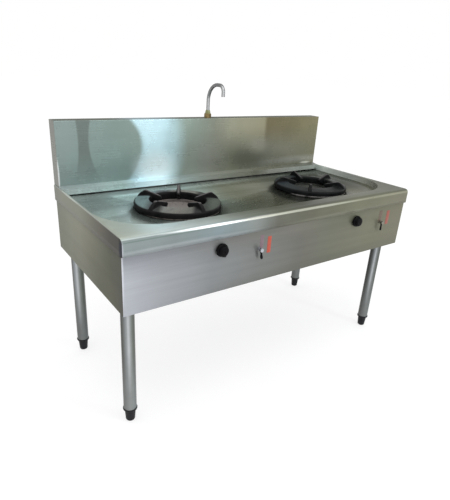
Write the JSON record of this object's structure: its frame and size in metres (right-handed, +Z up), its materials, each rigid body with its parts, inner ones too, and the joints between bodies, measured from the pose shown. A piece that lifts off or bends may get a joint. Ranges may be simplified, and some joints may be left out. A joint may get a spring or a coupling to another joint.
{
  "type": "wok range",
  "caption": "Freestanding gas wok range with a sunk deck, cast wok rings with prongs, a splash box with a swinging spout, front knobs and pilot levers, and tube legs on screw feet.",
  "frame": {"origin": "on the floor, under the middle of the rim", "axes": "+X to the right along the front, +Y from the front to the splash at the back, +Z up"},
  "size_m": [1.5, 0.752, 1.233],
  "materials": {
    "stainless": "polished stainless sheet",
    "panel_steel": "brushed stainless sheet",
    "frame_steel": "mill-finish angle steel",
    "tube_steel": "bright drawn tube",
    "cast_iron": "black enamelled casting",
    "cap_iron": "light heat-proof paint",
    "black_plastic": "black moulding",
    "brass": "turned brass",
    "bright_steel": "bright steel",
    "pipe_steel": "zinc-plated pipe"
  },
  "bodies": {
    "frame": {"top_pan": "stainless", "splash_panel": "stainless", "rear_ledge": "stainless", "splash_back": "stainless", "gutter_trough": "stainless", "drain_outlet": "stainless", "burner_well_left": "stainless", "burner_well_right": "stainless", "front_panel": "panel_steel", "left_panel": "panel_steel", "right_panel": "panel_steel", "rear_panel": "panel_steel", "front_rail": "frame_steel", "rear_rail": "frame_steel", "left_rail": "frame_steel", "right_rail": "frame_steel", "cross_rails": "frame_steel", "leg_sockets": "frame_steel", "burner_brackets": "frame_steel", "manifold_clips": "frame_steel", "leg_tube_front_left": "tube_steel", "leg_tube_front_right": "tube_steel", "leg_tube_rear_left": "tube_steel", "leg_tube_rear_right": "tube_steel", "burner_head_left": "cast_iron", "burner_head_right": "cast_iron", "burner_cap_left": "cap_iron", "burner_cap_right": "cap_iron", "leg_inserts": "black_plastic", "union_nut": "brass", "gas_jets": "brass", "main_valve_left": "brass", "main_valve_right": "brass", "faucet_shank": "brass", "pilot_valve_left": "bright_steel", "pilot_valve_right": "bright_steel", "panel_screws": "bright_steel", "gas_manifold": "pipe_steel", "gas_inlet": "pipe_steel", "feed_pipe_left": "pipe_steel", "feed_pipe_right": "pipe_steel", "pilot_tube_left": "pipe_steel", "pilot_tube_right": "pipe_steel", "water_pipe": "pipe_steel"},
    "knob_left_turns": {"knob_left": "black_plastic", "valve_stem_left": "bright_steel"},
    "knob_right_turns": {"knob_right": "black_plastic", "valve_stem_right": "bright_steel"},
    "lever_left_turns": {"pilot_lever_left": "black_plastic", "pilot_stem_left": "bright_steel"},
    "lever_right_turns": {"pilot_lever_right": "black_plastic", "pilot_stem_right": "bright_steel"},
    "spout_swings": {"spout": "bright_steel"},
    "ring_left_lifts": {"wok_ring_left": "cast_iron"},
    "ring_right_lifts": {"wok_ring_right": "cast_iron"},
    "foot_front_left_screws": {"foot_front_left": "black_plastic"},
    "foot_front_right_screws": {"foot_front_right": "black_plastic"},
    "foot_rear_left_screws": {"foot_rear_left": "black_plastic"},
    "foot_rear_right_screws": {"foot_rear_right": "black_plastic"}
  },
  "joints": [
    {"name": "knob_left", "type": "hinge", "parent": "frame", "child": "knob_left_turns", "pos_m": [-0.36, -0.36, 0.687], "axis": [0, -1, 0], "range_deg": [0, 90]},
    {"name": "pilot_lever_left", "type": "hinge", "parent": "frame", "child": "lever_left_turns", "pos_m": [-0.179, -0.362, 0.656], "axis": [0, -1, 0], "range_deg": [0, 90]},
    {"name": "ring_left_lift", "type": "slide", "parent": "frame", "child": "ring_left_lifts", "axis": [0, 0, 1], "range_m": [0, 0.08]},
    {"name": "knob_right", "type": "hinge", "parent": "frame", "child": "knob_right_turns", "pos_m": [0.39, -0.36, 0.687], "axis": [0, -1, 0], "range_deg": [0, 90]},
    {"name": "pilot_lever_right", "type": "hinge", "parent": "frame", "child": "lever_right_turns", "pos_m": [0.571, -0.362, 0.656], "axis": [0, -1, 0], "range_deg": [0, 90]},
    {"name": "ring_right_lift", "type": "slide", "parent": "frame", "child": "ring_right_lifts", "axis": [0, 0, 1], "range_m": [0, 0.08]},
    {"name": "spout_swivel", "type": "hinge", "parent": "frame", "child": "spout_swings", "pos_m": [0, 0.327, 1.086], "axis": [0, 0, 1], "range_deg": [-90, 90]},
    {"name": "foot_front_left", "type": "slide", "parent": "frame", "child": "foot_front_left_screws", "axis": [0, 0, -1], "range_m": [0, 0.025]},
    {"name": "foot_front_right", "type": "slide", "parent": "frame", "child": "foot_front_right_screws", "axis": [0, 0, -1], "range_m": [0, 0.025]},
    {"name": "foot_rear_left", "type": "slide", "parent": "frame", "child": "foot_rear_left_screws", "axis": [0, 0, -1], "range_m": [0, 0.025]},
    {"name": "foot_rear_right", "type": "slide", "parent": "frame", "child": "foot_rear_right_screws", "axis": [0, 0, -1], "range_m": [0, 0.025]}
  ]
}
